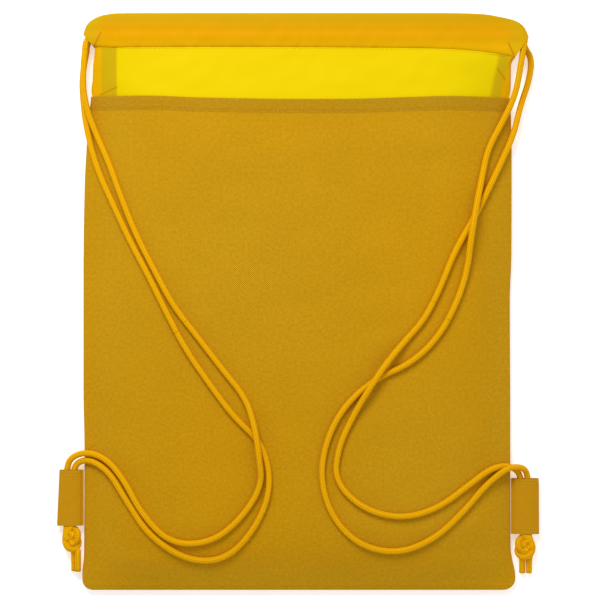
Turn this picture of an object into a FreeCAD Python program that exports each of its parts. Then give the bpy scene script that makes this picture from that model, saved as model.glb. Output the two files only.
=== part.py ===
import FreeCAD, Part
import math
import os

import Sketcher

# Drawstring backpack, lying flat on its front panel with the strap side up and the mouth towards +Y.
# Millimetres. The origin is the middle of the bag's outline, on the surface that the bag lies on.
# Two drawcords close the mouth. Each is fixed by a knot at one bottom tab, climbs to the mouth's corner
# on its own side, runs through both channels, turns round at the far corner and comes back.

DIMENSIONS = {
    "bag_width": 330,
    "bag_length": 444.5,
    "panel_end": 157.5,        # y of the panels' mouth edge
    "mouth_overrun": 5,        # the hollows are cut this far past the mouth edge
    "seam_level": 6,           # z where the two panels meet
    "cloth": 0.8,
    "shoulder_inset": 20,      # the back panel rises steeply over this, then gently to its crown
    "shoulder_level": 14.6,
    "crown_inset": 60,
    "crown_level": 20.8,
    "belly_inset": 40,         # the front panel falls to the surface over this
    "nylon": 0.5,
    "collar_start": 147,       # y of the collar's edge, sewn inside the panel
    "collar_half": 158,
    "collar_gap": 0.3,
    "mouth_shift": 3.25,       # the mouth lies this far to the right of the panels
    "channel_half": 158.75,
    "channel_start": 196,
    "channel_depth": 6.8,
    "channel_wall": 0.6,
    "channel_bevel": 2,
    "back_channel_level": 17.4,
    "front_channel_level": 3.6,
    "cord_diameter": 4.8,
    "left_strap_line": 204,    # y of each cord inside the channels
    "right_strap_line": 213,
    "left_exit": -163,
    "right_exit": 175,
    "exit_radius": 9,
    "exit_straight": 1,
    "left_bight_start": -155.5,
    "right_bight_start": 162,
    "tab_outer": 187.4,
    "tab_inner": 168.5,
    "tab_depth": 7.6,
    "tab_wall": 1,
    "tab_level": 6.5,
    "tab_hinge": 166.1,        # x of the line that the tab folds on
    "tab_flange": 1.6,
    "left_tab_end": -172.5,    # y of each tab's lower end
    "right_tab_end": -179,
    "tab_length": 43,
    "inner_cord_place": 172.6,
    "outer_cord_place": 178,
    "cord_in_tab": 3.5,        # a strap goes this far into its tab
    "cord_slack": 1,           # room between the strap's end and the run that slides with the knot
    "left_knot_place": -174.6,
    "right_knot_place": 176.2,
    "knot_level": 7.5,
    "knot_drop": 10.5,         # from a tab's end to the middle of its knot
    "knot_half_width": 8.5,
    "knot_half_length": 9.5,
    "knot_half_height": 7,
    "left_tail_length": 20,
    "right_tail_length": 15,
    "tail_drop": 15.5,         # from a tab's end to where the tails leave the knot
    "tail_level": 3,
    "knot_grip": 2.5,          # a cord goes this far into its knot
    "thread": 0.6,
    "thread_lift": 0.1,
    "channel_stitch_line": 194.8,
    "hem_stitch_line": 149,
    "seam_inset": 4.2,
    "seam_end_inset": 8,
    "channel_stitch_inset": 2,
    "back_hem_stitch_inset": 2,
    "front_hem_stitch_inset": 8,
    "tab_stitch_inset": 2,
    "tab_stitch_pitch": 2.4,
    "tab_stitch_length": 11.5,
}

doc = FreeCAD.newDocument("DrawstringBackpack")
sheet = doc.addObject("Spreadsheet::Sheet", "Size")
for row, (alias, value) in enumerate(DIMENSIONS.items(), start=1):
    sheet.set(f"A{row}", alias)
    sheet.set(f"B{row}", str(value))
    sheet.setAlias(f"B{row}", alias)
doc.recompute()

parts = []


def size(expression):
    """What an expression over the sheet comes to, as a plain number."""
    return float(sheet.evalExpression(expression))


def keep(shape_object, name):
    """Give a finished sub-part the name of its file."""
    shape_object.Label = name
    parts.append(shape_object)
    return shape_object


# ---- Sewn cloth: bodies built from outlines whose every corner is tied to the sheet ----

def outline(body, role, level, corners):
    """A closed straight-edged outline on one of the body's origin planes, raised along its normal."""
    plane = [feature for feature in body.Origin.OriginFeatures if feature.Role == role][0]
    sketch = body.newObject("Sketcher::SketchObject", "Outline")
    sketch.AttachmentSupport = [(plane, "")]
    sketch.MapMode = "FlatFace"
    sketch.setExpression("AttachmentOffset.Base.z", level)
    places = [FreeCAD.Vector(size(across), size(along), 0) for across, along in corners]
    for index, place in enumerate(places):
        sketch.addGeometry(Part.LineSegment(place, places[(index + 1) % len(places)]), False)
    for index in range(len(places)):
        sketch.addConstraint(Sketcher.Constraint("Coincident", index, 2, (index + 1) % len(places), 1))
    for index, corner in enumerate(corners):
        for kind, expression, value in zip(("DistanceX", "DistanceY"), corner, places[index]):
            name = f"{kind[-1].lower()}{index}"
            number = sketch.addConstraint(Sketcher.Constraint(kind, -1, 1, index, 1, value))
            sketch.renameConstraint(number, name)
            sketch.setExpression(f"Constraints.{name}", expression)
    return sketch


def loft(body, kind, sections):
    """Join outlines by flat faces, as a solid or as a cut."""
    feature = body.newObject(f"PartDesign::{kind}Loft", kind)
    feature.Profile = sections[0]
    feature.Sections = sections[1:]
    feature.Ruled = True
    doc.recompute()
    return feature


def tray_outline(body, level, inset, mouth_end):
    """The bag's rectangle, drawn in from the sides and the bottom but not from the open mouth."""
    half = f"(Size.bag_width / 2 - ({inset}))"
    low = f"(-Size.bag_length / 2 + ({inset}))"
    corners = [(f"-{half}", low), (half, low), (half, mouth_end), (f"-{half}", mouth_end)]
    return outline(body, "XY_Plane", level, corners)


def panel(name, steps, hollow_steps):
    """One twill panel: a shallow tray of cloth, open at the mouth."""
    body = doc.addObject("PartDesign::Body", name)
    shell = [tray_outline(body, level, inset, "Size.panel_end") for level, inset in steps]
    loft(body, "Additive", shell)
    past_mouth = "Size.panel_end + Size.mouth_overrun"
    hollow = [tray_outline(body, level, inset, past_mouth) for level, inset in hollow_steps]
    loft(body, "Subtractive", hollow)
    return keep(body, name)


shoulder_slope = "(Size.shoulder_level - Size.seam_level) / Size.shoulder_inset"
back_lip = f"Size.cloth / ({shoulder_slope})"
panel(
    "back_panel",
    [
        ("Size.seam_level", "0"),
        ("Size.shoulder_level", "Size.shoulder_inset"),
        ("Size.crown_level", "Size.crown_inset"),
    ],
    [
        ("Size.seam_level", back_lip),
        ("Size.shoulder_level - Size.cloth", "Size.shoulder_inset"),
        ("Size.crown_level - Size.cloth", "Size.crown_inset"),
    ],
)
front_lip = "Size.cloth * Size.belly_inset / Size.seam_level"
panel(
    "front_panel",
    [("Size.seam_level", "0"), ("0", "Size.belly_inset")],
    [("Size.seam_level", front_lip), ("Size.cloth", "Size.belly_inset")],
)


def strip_corners(line, depth):
    """A thin strip under a line of (place, level) points given from left to right."""
    upper = list(line)
    lower = [(place, f"({level}) - {depth}") for place, level in reversed(line)]
    return upper + lower


def mirrored(line):
    """The same line on both sides of x = 0, from left to right."""
    return [(f"-({place})", level) for place, level in line] + list(reversed(line))


def collar(name, sewn_line, channel_level):
    """One nylon collar: a single layer sewn inside the panel, with its top folded into a cord channel."""
    body = doc.addObject("PartDesign::Body", name)
    free_line = [
        ("Size.mouth_shift - Size.channel_half", f"{channel_level} + Size.nylon / 2"),
        *[(f"Size.mouth_shift + ({place})", f"{channel_level} + Size.nylon / 2")
          for place, _ in mirrored(sewn_line)[1:-1]],
        ("Size.mouth_shift + Size.channel_half", f"{channel_level} + Size.nylon / 2"),
    ]
    sewn = strip_corners(mirrored(sewn_line), "Size.nylon")
    free = strip_corners(free_line, "Size.nylon")
    levels = ["-Size.collar_start", "-Size.panel_end", "-(Size.channel_start + Size.channel_wall / 2)"]
    sections = [outline(body, "XZ_Plane", level, shape) for level, shape in zip(levels, (sewn, sewn, free))]
    loft(body, "Additive", sections)

    channel_run = "2 * Size.channel_half"
    for kind, shrink in (("Pad", "0"), ("Pocket", "Size.channel_wall")):
        low = f"(Size.channel_start + {shrink})"
        high = f"(Size.bag_length / 2 - {shrink})"
        under = f"({channel_level} - Size.channel_depth / 2 + {shrink})"
        over = f"({channel_level} + Size.channel_depth / 2 - {shrink})"
        bevel = "Size.channel_bevel"
        corners = [
            (f"{low} + {bevel}", under), (f"{high} - {bevel}", under),
            (high, f"{under} + {bevel}"), (high, f"{over} - {bevel}"),
            (f"{high} - {bevel}", over), (f"{low} + {bevel}", over),
            (low, f"{over} - {bevel}"), (low, f"{under} + {bevel}"),
        ]
        profile = outline(body, "YZ_Plane", "Size.mouth_shift - Size.channel_half", corners)
        doc.recompute()
        feature = body.newObject(f"PartDesign::{kind}", kind)
        feature.Profile = profile
        feature.setExpression("Length", channel_run)
        feature.Reversed = kind == "Pocket"
        doc.recompute()
    return keep(body, name)


back_lining = [
    ("Size.collar_half",
     f"Size.seam_level + (Size.bag_width / 2 - {back_lip} - Size.collar_half) * {shoulder_slope}"
     " - Size.collar_gap"),
    ("Size.bag_width / 2 - Size.shoulder_inset", "Size.shoulder_level - Size.cloth - Size.collar_gap"),
    ("Size.bag_width / 2 - Size.crown_inset", "Size.crown_level - Size.cloth - Size.collar_gap"),
]
collar("back_collar", back_lining, "Size.back_channel_level")

belly_half = "(Size.bag_width / 2 - Size.belly_inset)"
front_floor = "Size.cloth + Size.collar_gap + Size.nylon"
front_lining = [
    ("Size.collar_half",
     f"{front_floor} + (Size.collar_half - {belly_half}) * Size.seam_level / Size.belly_inset"),
    (belly_half, front_floor),
]
collar("front_collar", front_lining, "Size.front_channel_level")


# ---- Thread ----

def rod(name, radius, length, start, direction):
    """A round bar from a start point along an axis, with its radius, length and start tied to the sheet."""
    bar = doc.addObject("Part::Cylinder", name)
    bar.Placement = FreeCAD.Placement(FreeCAD.Vector(), FreeCAD.Rotation(FreeCAD.Vector(0, 0, 1), direction))
    bar.setExpression("Radius", radius)
    bar.setExpression("Height", length)
    for axis, expression in zip("xyz", start):
        bar.setExpression(f"Placement.Base.{axis}", expression)
    return bar


def group(name, members):
    """Alike loose solids that share one sub-part."""
    together = doc.addObject("Part::Compound", name)
    together.Links = members
    return keep(together, name)


ALONG_X = FreeCAD.Vector(1, 0, 0)
ALONG_Y = FreeCAD.Vector(0, 1, 0)
thread_radius = "Size.thread / 2"

for side, away in (("back", 1), ("front", -1)):
    channel_level = f"Size.{side}_channel_level"
    thread_level = f"{channel_level} + {away} * (Size.nylon / 2 + Size.thread / 2 + Size.thread_lift)"
    half = "(Size.channel_half - Size.channel_stitch_inset)"
    start = (f"Size.mouth_shift - {half}", "Size.channel_stitch_line", thread_level)
    name = f"{side}_channel_stitching"
    keep(rod(name, thread_radius, f"2 * {half}", start, ALONG_X), name)


def hem_stitching(name, line):
    """The row that holds a collar to its panel, bent over the panel's own section."""
    body = doc.addObject("PartDesign::Body", name)
    profile = outline(body, "XZ_Plane", "-Size.hem_stitch_line", strip_corners(mirrored(line), "Size.thread"))
    doc.recompute()
    feature = body.newObject("PartDesign::Pad", "Pad")
    feature.Profile = profile
    feature.setExpression("Length", "Size.thread")
    return keep(body, name)


over_cloth = "Size.thread + Size.thread_lift"
hem_stitching("back_collar_stitching", [
    ("Size.bag_width / 2 - Size.back_hem_stitch_inset",
     f"Size.seam_level + Size.back_hem_stitch_inset * {shoulder_slope} + {over_cloth}"),
    ("Size.bag_width / 2 - Size.shoulder_inset", f"Size.shoulder_level + {over_cloth}"),
    ("Size.bag_width / 2 - Size.crown_inset", f"Size.crown_level + {over_cloth}"),
])
front_stitch_half = "(Size.collar_half - Size.front_hem_stitch_inset)"
hem_stitching("front_collar_stitching", [
    (front_stitch_half,
     f"{front_floor} + ({front_stitch_half} - {belly_half}) * Size.seam_level / Size.belly_inset"
     f" + {over_cloth}"),
    (belly_half, f"{front_floor} + {over_cloth}"),
])

seam_thread_level = "Size.seam_level + Size.thread / 2 + Size.thread_lift / 2"
seam_bottom = "-Size.bag_length / 2 + Size.seam_inset"
for side, sign in (("left", "-1"), ("right", "1")):
    start = (f"{sign} * (Size.bag_width / 2 - Size.seam_inset)", seam_bottom, seam_thread_level)
    name = f"{side}_side_stitching"
    keep(rod(name, thread_radius, f"Size.panel_end - ({seam_bottom})", start, ALONG_Y), name)
start = ("-(Size.bag_width / 2 - Size.seam_end_inset)", seam_bottom, seam_thread_level)
length = "Size.bag_width - 2 * Size.seam_end_inset"
keep(rod("bottom_stitching", thread_radius, length, start, ALONG_X), "bottom_stitching")


# ---- Tabs: a ribbon folded round the two ends of a cord and sewn into the side seam ----

def stadium(name, word, side, wall):
    """A flat round-ended bar along Y, the tab's loop with some wall taken off."""
    radius = f"(Size.tab_depth / 2 - {wall})"
    tab_end = f"Size.{word}_tab_end"
    ends = [
        f"{side} * (Size.tab_{edge} {toward} Size.tab_depth / 2)"
        for edge, toward in (("inner", "+"), ("outer", "-"))
    ]
    pieces = [
        rod(f"{name}_end", radius, "Size.tab_length", (end, tab_end, "Size.tab_level"), ALONG_Y)
        for end in ends
    ]
    flat = doc.addObject("Part::Box", f"{name}_flat")
    flat.setExpression("Length", "Size.tab_outer - Size.tab_inner - Size.tab_depth")
    flat.setExpression("Width", "Size.tab_length")
    flat.setExpression("Height", f"2 * {radius}")
    flat.setExpression("Placement.Base.x", ends[0] if side > 0 else ends[1])
    flat.setExpression("Placement.Base.y", tab_end)
    flat.setExpression("Placement.Base.z", f"Size.tab_level - {radius}")
    joined = doc.addObject("Part::MultiFuse", name)
    joined.Shapes = [flat, *pieces]
    return joined


def tab(name, word, side):
    """The folded loop and the flange that the seam holds, whose edge is round on the folding line."""
    tab_end = f"Size.{word}_tab_end"
    flange = doc.addObject("Part::Box", f"{name}_flange")
    flange.setExpression("Length", "Size.tab_inner + Size.tab_wall / 2 - Size.tab_hinge")
    flange.setExpression("Width", "Size.tab_length")
    flange.setExpression("Height", "Size.tab_flange")
    flange_low = "Size.tab_hinge" if side > 0 else "-(Size.tab_inner + Size.tab_wall / 2)"
    flange.setExpression("Placement.Base.x", flange_low)
    flange.setExpression("Placement.Base.y", tab_end)
    flange.setExpression("Placement.Base.z", "Size.seam_level - Size.tab_flange / 2")
    hinge_start = (f"{side} * Size.tab_hinge", tab_end, "Size.seam_level")
    edge = rod(f"{name}_edge", "Size.tab_flange / 2", "Size.tab_length", hinge_start, ALONG_Y)
    whole = doc.addObject("Part::MultiFuse", f"{name}_whole")
    whole.Shapes = [stadium(f"{name}_loop", word, side, "0"), flange, edge]
    hollow = doc.addObject("Part::Cut", name)
    hollow.Base = whole
    hollow.Tool = stadium(f"{name}_hollow", word, side, "Size.tab_wall")
    return keep(hollow, name)


def tab_stitching(name, word, side):
    """Two rows across each end of the tab, on its upper face."""
    level = "Size.tab_level + Size.tab_depth / 2 + Size.thread / 2 + Size.thread_lift / 2"
    middle = "(Size.tab_inner + Size.tab_outer) / 2"
    start_x = f"{side} * {middle} - Size.tab_stitch_length / 2"
    rows = []
    for number in (0, 1):
        inset = f"Size.tab_stitch_inset + {number} * Size.tab_stitch_pitch"
        for place in (f"Size.{word}_tab_end + {inset}", f"Size.{word}_tab_end + Size.tab_length - ({inset})"):
            start = (start_x, place, level)
            rows.append(rod(f"{name}_row", thread_radius, "Size.tab_stitch_length", start, ALONG_X))
    return group(name, rows)


# ---- Drawcords ----

def cord_tube(name, points, radii=None):
    """A round cord along straight runs joined by tangent arcs, each arc as large as its two runs allow."""
    corners = [FreeCAD.Vector(*point) for point in points]
    edges = []
    used = []
    reached = corners[0]
    for index in range(1, len(corners) - 1):
        back = corners[index - 1] - corners[index]
        ahead = corners[index + 1] - corners[index]
        half_turn = (math.pi - back.getAngle(ahead)) / 2
        radius = 0.45 * min(back.Length, ahead.Length) / math.tan(half_turn)
        if radii:
            radius = radii[index - 1]
        used.append(radius)
        trim = radius * math.tan(half_turn)
        back.normalize()
        ahead.normalize()
        enters = corners[index] + back * trim
        leaves = corners[index] + ahead * trim
        inward = (back + ahead).normalize()
        crown = corners[index] + inward * (radius / math.cos(half_turn) - radius)
        if (enters - reached).Length > 1e-6:
            edges.append(Part.LineSegment(reached, enters).toShape())
        edges.append(Part.Arc(enters, crown, leaves).toShape())
        reached = leaves
    edges.append(Part.LineSegment(reached, corners[-1]).toShape())

    route = doc.addObject("Part::Feature", f"{name}_route")
    route.Shape = Part.Wire(edges)
    section = doc.addObject("Part::Circle", f"{name}_section")
    section.setExpression("Radius", "Size.cord_diameter / 2")
    heading = FreeCAD.Rotation(FreeCAD.Vector(0, 0, 1), corners[1] - corners[0])
    section.Placement = FreeCAD.Placement(corners[0], heading)
    tube = doc.addObject("Part::Sweep", name)
    tube.Sections = [section]
    tube.Spine = (route, [f"Edge{number}" for number in range(1, len(edges) + 1)])
    tube.Solid = True
    doc.recompute()
    expected = math.pi * (size("Size.cord_diameter") / 2) ** 2 * route.Shape.Length
    print(
        f"{name}: length {route.Shape.Length:.0f} mm, volume over section times length "
        f"{tube.Shape.Volume / expected:.4f}, radii " + " ".join(f"{radius:.0f}" for radius in used)
    )
    return keep(tube, name)


CORD_CLEARANCE = 0.4
OVER_A_CORD = 5.4              # lift of one cord where it crosses another
back_level = size("Size.back_channel_level")
front_level = size("Size.front_channel_level")
tab_height = size("Size.tab_level")
inner_place = size("Size.inner_cord_place")
outer_place = size("Size.outer_cord_place")
tab_tops = {side: size(f"Size.{side}_tab_end + Size.tab_length") for side in ("left", "right")}
tab_ends = {side: top - size("Size.cord_in_tab") for side, top in tab_tops.items()}


def rise(distance):
    """How far the back panel has risen, from 0 to 1, at a distance in from its edge."""
    remaining = 1 - min(max(distance, 0), size("Size.crown_inset")) / size("Size.crown_inset")
    return 1 - remaining ** 2


def lay(points):
    """Heights for a cord lying on the back panel, from x, y and its lift over whatever it crosses."""
    edge_top = size("Size.seam_level + Size.cloth")
    full_rise = size("Size.crown_level") - edge_top
    above = size("Size.cord_diameter") / 2 + CORD_CLEARANCE
    placed = []
    for x, y, lift in points:
        share = rise(size("Size.bag_width") / 2 - abs(x)) * rise(y + size("Size.bag_length") / 2)
        placed.append((x, y, edge_top + full_rise * share + above + lift))
    return placed


# Each strap strand, from the mouth's corner down to its tab. The first part moves with the mouth and the
# last with the tab. They share the point where they meet, which is halfway between two other points.
STRANDS = {
    "left_strap_back": (
        [(-163, 194, back_level), (-165.5, 172, 16.5), (-162.5, 150, 15.2)]
        + lay([(-155.5, 131, 0), (-145, 108, 0), (-135, 80, 0), (-123.5, 51.5, 0), (-109.5, 24.5, 0),
               (-95, -3, 0), (-85.5, -15, 0)]),
        lay([(-85.5, -15, 0), (-76, -27, 0), (-57, -52, 0), (-39, -74, 0), (-32, -97, OVER_A_CORD),
             (-29, -119, OVER_A_CORD), (-27, -141, 0), (-43, -166, 0), (-66, -184.5, 0),
             (-97, -185.5, 0), (-119, -162.8, 0), (-133.4, -135.4, 0), (-147.2, -119.8, 0)])
        + [(-162, -115.3, 12.2), (-173.6, -119, 9.6), (-outer_place, -126.5, tab_height),
           (-outer_place, tab_ends["left"], tab_height)],
    ),
    "left_strap_front": (
        [(-163, 194, front_level), (-166.5, 176, 4.5), (-165.3, 156, 9.9)]
        + lay([(-162.5, 134, 0), (-154.5, 104, 0), (-141.5, 75.5, 0), (-128, 46.5, 0), (-113.5, 19.5, 0),
               (-99.5, -9.5, 0), (-92.25, -23.25, 0)]),
        lay([(-92.25, -23.25, 0), (-85, -37, 0), (-67, -63, 0), (-49, -87.5, 0), (-26, -109, 0),
             (-19.5, -141, 0), (-31, -172, 0), (-54, -197.5, 0), (-83, -199, 0), (-113, -180, 0),
             (-131, -152.5, 0), (-143.5, -131.5, 0), (-156, -122.6, 0)])
        + [(-165.8, -121.6, 9.2), (-inner_place, -126.8, tab_height),
           (-inner_place, tab_ends["left"], tab_height)],
    ),
    "right_strap_back": (
        [(175, 203, back_level), (171.5, 180, 17), (167.5, 158, 14.6)]
        + lay([(157, 137, 0), (146.5, 118, 0), (142, 97, 0), (137.5, 76, OVER_A_CORD),
               (133, 50, OVER_A_CORD), (130.5, 25, 0), (122.5, 0, 0), (115.25, -13.5, 0)]),
        lay([(115.25, -13.5, 0), (108, -27, 0), (87, -47, 0), (60, -58.5, 0), (36, -79, 0),
             (22, -106, 0), (17.5, -135, 0), (26.5, -165, 0), (48, -187, 0), (78, -193, 0),
             (106, -181, 0), (128, -160, 0), (142, -143.5, 0)])
        + [(153.5, -133.4, 16), (163, -126.9, 16.6), (172.8, -126.8, 14), (outer_place, -132, tab_height),
           (outer_place, tab_ends["right"], tab_height)],
    ),
    "right_strap_front": (
        [(175, 203, front_level), (175.3, 197, front_level), (181.5, 189, front_level), (179.5, 172, 4.6),
         (172, 151, 7.4), (167, 129.5, 10.4)]
        + lay([(158, 110, 0), (149, 91, 0), (136, 65, 0), (121, 40, 0), (110.5, 13, 0), (104.25, 0.25, 0)]),
        lay([(104.25, 0.25, 0), (98, -12.5, 0), (84, -28, 0), (68.5, -46, OVER_A_CORD),
             (54.5, -67, OVER_A_CORD), (42.5, -87.5, 0), (31.5, -111, 0), (28.5, -137, 0),
             (50, -158.5, 0), (80, -166, 0), (108, -158, 0), (132, -140, 0), (147, -129, 0),
             (157, -126, 0)])
        + [(166, -127, 9.3), (inner_place, -133, tab_height),
           (inner_place, tab_ends["right"], tab_height)],
    ),
}
for name, (upper, lower) in STRANDS.items():
    cord_tube(f"{name}_upper", upper)
    cord_tube(f"{name}_lower", lower)


def channel_run(name, side, level):
    """A cord inside one channel: from its bight at the far corner, and round to its exit at the near one."""
    far = "right" if side == "left" else "left"
    line = size(f"Size.{side}_strap_line")
    near = size(f"Size.{side}_exit")
    exit_y = line - size("Size.exit_radius + Size.exit_straight")
    points = [(size(f"Size.{far}_bight_start"), line, level), (near, line, level), (near, exit_y, level)]
    return cord_tube(name, points, [size("Size.exit_radius")])


def bight(name, corner, cord):
    """The half turn by which one cord passes from the front channel to the back one at the far corner."""
    outward = FreeCAD.Vector(-1 if corner == "left" else 1, 0, 0)
    up = FreeCAD.Vector(0, 0, 1)
    heading = FreeCAD.Rotation(up, outward, up.cross(outward), "XYZ")
    turn = doc.addObject("Part::Torus", name)
    turn.Placement = FreeCAD.Placement(FreeCAD.Vector(), heading)
    turn.setExpression("Radius1", "(Size.back_channel_level - Size.front_channel_level) / 2")
    turn.setExpression("Radius2", "Size.cord_diameter / 2")
    turn.Angle3 = 180
    turn.setExpression("Placement.Base.x", f"Size.{corner}_bight_start")
    turn.setExpression("Placement.Base.y", f"Size.{cord}_strap_line")
    turn.setExpression("Placement.Base.z", "(Size.back_channel_level + Size.front_channel_level) / 2")
    return keep(turn, name)


def knot(name, word):
    """The room that the doubled overhand knot fills."""
    lump = doc.addObject("Part::Ellipsoid", name)
    lump.setExpression("Radius1", "Size.knot_half_height")
    lump.setExpression("Radius2", "Size.knot_half_width")
    lump.setExpression("Radius3", "Size.knot_half_length")
    lump.setExpression("Placement.Base.x", f"Size.{word}_knot_place")
    lump.setExpression("Placement.Base.y", f"Size.{word}_tab_end - Size.knot_drop")
    lump.setExpression("Placement.Base.z", "Size.knot_level")
    return keep(lump, name)


def tab_run(name, word, side):
    """The two ends of one cord inside their tab, from the knot to where the strap comes in."""
    start = f"(Size.{word}_tab_end - Size.knot_drop + Size.knot_half_length - Size.knot_grip)"
    length = f"Size.{word}_tab_end + Size.tab_length - Size.cord_in_tab - Size.cord_slack - {start}"
    cords = []
    for place in ("inner", "outer"):
        foot = (f"{side} * Size.{place}_cord_place", start, "Size.tab_level")
        cords.append(rod(f"{name}_{place}", cord_radius, length, foot, ALONG_Y))
    return group(name, cords)


def tails(name, word):
    """The two short ends of one cord beyond its knot."""
    tip = f"Size.{word}_tab_end - Size.tail_drop - Size.{word}_tail_length"
    cords = []
    for place in TAIL_PLACES[word]:
        foot = (str(place), tip, "Size.tail_level")
        cords.append(rod(f"{name}_tail", cord_radius, f"Size.{word}_tail_length", foot, ALONG_Y))
    return group(name, cords)


cord_radius = "Size.cord_diameter / 2"
TAIL_PLACES = {"left": (-173.6, -168.4), "right": (173.5, 178.9)}
for word, side in (("left", -1), ("right", 1)):
    channel_run(f"{word}_cord_back_run", word, back_level)
    channel_run(f"{word}_cord_front_run", word, front_level)
    bight(f"{word}_cord_bight", "right" if word == "left" else "left", word)
    tab(f"{word}_tab", word, side)
    tab_stitching(f"{word}_tab_stitching", word, side)
    tab_run(f"{word}_cord_tab_run", word, side)
    knot(f"{word}_knot", word)
    tails(f"{word}_cord_tails", word)


# ---- Check and write ----

doc.recompute()
for thing in doc.Objects:
    if "Invalid" in thing.State or "Error" in thing.State:
        raise RuntimeError(f"{thing.Label} failed: {thing.State}")
os.makedirs("parts", exist_ok=True)
for thing in parts:
    if thing.Shape.isNull() or not thing.Shape.isValid():
        raise RuntimeError(f"{thing.Label} has no valid shape")
    thing.Shape.exportStep(os.path.join("parts", f"{thing.Label}.step"))
print(len(parts), "sub-parts written")
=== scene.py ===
import math
from math import pi

import bpy
import numpy as np
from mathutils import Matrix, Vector


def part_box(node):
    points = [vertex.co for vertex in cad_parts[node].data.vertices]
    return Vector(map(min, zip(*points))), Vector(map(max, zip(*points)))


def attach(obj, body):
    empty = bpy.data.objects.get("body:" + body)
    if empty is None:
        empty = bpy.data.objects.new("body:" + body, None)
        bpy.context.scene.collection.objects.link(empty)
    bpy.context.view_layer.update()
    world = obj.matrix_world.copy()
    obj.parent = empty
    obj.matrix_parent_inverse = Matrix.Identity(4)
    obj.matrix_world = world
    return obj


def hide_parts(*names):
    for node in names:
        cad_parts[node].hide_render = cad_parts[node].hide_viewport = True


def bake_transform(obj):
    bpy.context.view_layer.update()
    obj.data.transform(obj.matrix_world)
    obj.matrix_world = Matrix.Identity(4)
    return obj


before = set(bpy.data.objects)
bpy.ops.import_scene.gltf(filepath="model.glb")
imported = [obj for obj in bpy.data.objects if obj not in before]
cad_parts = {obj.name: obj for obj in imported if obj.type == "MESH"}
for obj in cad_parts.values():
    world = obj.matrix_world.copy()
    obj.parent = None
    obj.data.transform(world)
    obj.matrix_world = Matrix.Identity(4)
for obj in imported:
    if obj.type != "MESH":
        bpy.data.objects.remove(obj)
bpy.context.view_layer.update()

# A drawstring backpack lying flat, strap side up, mouth towards +Y. Metres throughout.


# ---- Sizes that the frame gives ----

HALF_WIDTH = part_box("back_panel")[1].x
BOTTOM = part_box("back_panel")[0].y
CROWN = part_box("back_panel")[1].z
SEAM_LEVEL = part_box("back_panel")[0].z
CLOTH = 0.0008
NYLON = 0.0004
BACK_CHANNEL = (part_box("left_cord_back_run")[0].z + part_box("left_cord_back_run")[1].z) / 2
FRONT_CHANNEL = (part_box("left_cord_front_run")[0].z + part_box("left_cord_front_run")[1].z) / 2
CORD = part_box("left_cord_back_run")[1].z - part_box("left_cord_back_run")[0].z

WAYS = {"left": -1, "right": 1}


def follow_mouth(piece):
    """Bakes a piece's placement into its points; the piece is not made to follow its corner of the mouth."""
    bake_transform(piece)


# ---- Small tools ----

def through(points, where):
    """The values at some places of a smooth line through a few (place, value) points, with no overshoot."""
    places, values = np.array(points, float).T
    gaps, climbs = np.diff(places), np.diff(values) / np.diff(places)
    before, after = climbs[:-1], climbs[1:]
    heavy, light = 2 * gaps[1:] + gaps[:-1], gaps[1:] + 2 * gaps[:-1]
    same_way = before * after > 0
    safe = np.where(same_way, before, 1), np.where(same_way, after, 1)
    inner = np.where(same_way, (heavy + light) / (heavy / safe[0] + light / safe[1]), 0)
    slopes = np.concatenate([climbs[:1], inner, climbs[-1:]])
    where = np.asarray(where, float)
    index = np.clip(np.searchsorted(places, where) - 1, 0, len(places) - 2)
    gap = places[index + 1] - places[index]
    t = np.clip((where - places[index]) / gap, 0, 1)
    start = (1 + 2 * t) * (1 - t) ** 2 * values[index] + t * (1 - t) ** 2 * gap * slopes[index]
    end = t ** 2 * (3 - 2 * t) * values[index + 1] - t ** 2 * (1 - t) * gap * slopes[index + 1]
    return start + end


def ease(low, high, value):
    """0 below low, 1 above high, and smooth between them."""
    t = np.clip((value - low) / (high - low), 0, 1)
    return t * t * (3 - 2 * t)


def ripple(points, size, seed):
    """A smooth, repeatable unevenness from about -1 to 1 over an array of flat (x, y) places."""
    random = np.random.default_rng(seed)
    total = np.zeros(points.shape[:-1])
    for octave in range(2):
        for _ in range(7):
            angle, phase = random.random(2) * 2 * pi
            length = size / 2 ** octave * (0.7 + 0.6 * random.random())
            along = points[..., 0] * math.cos(angle) + points[..., 1] * math.sin(angle)
            total += np.sin(along * 2 * pi / length + phase) / (octave + 1)
    return total / 4


def unit(vectors):
    return vectors / np.maximum(np.linalg.norm(vectors, axis=-1, keepdims=True), 1e-12)


def marks_along(line):
    """The distance of each point of a line from its start."""
    return np.concatenate([[0], np.cumsum(np.linalg.norm(np.diff(line, axis=0), axis=1))])


def in_scene(name, data):
    thing = bpy.data.objects.new(name, data)
    bpy.context.scene.collection.objects.link(thing)
    return thing


def mesh_object(name, points, faces, uvs=None, normals=None, materials=(), face_materials=None):
    """A smooth mesh. uvs has one place for each point."""
    mesh = bpy.data.meshes.new(name)
    mesh.from_pydata([tuple(p) for p in points], [], [tuple(int(i) for i in f) for f in faces])
    mesh.shade_smooth()
    if uvs is not None:
        layer = mesh.uv_layers.new(name="cloth")
        corners = np.zeros(len(mesh.loops), np.int32)
        mesh.loops.foreach_get("vertex_index", corners)
        layer.data.foreach_set("uv", np.asarray(uvs, np.float32)[corners].ravel())
    for material in materials:
        mesh.materials.append(material)
    if face_materials is not None:
        mesh.polygons.foreach_set("material_index", np.asarray(face_materials, np.int32))
    if normals is not None:
        mesh.normals_split_custom_set_from_vertices([tuple(n) for n in normals])
    mesh.update()
    return in_scene(name, mesh)


def grid_faces(rows, columns, first=0, closed=False):
    """Quads over a grid of points numbered row by row."""
    down = np.arange(rows - 1)[:, None] * columns
    across = np.arange(columns if closed else columns - 1)[None, :]
    right = (across + 1) % columns
    quads = np.stack([down + across, down + right, down + columns + right, down + columns + across], -1)
    return quads.reshape(-1, 4) + first


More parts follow.
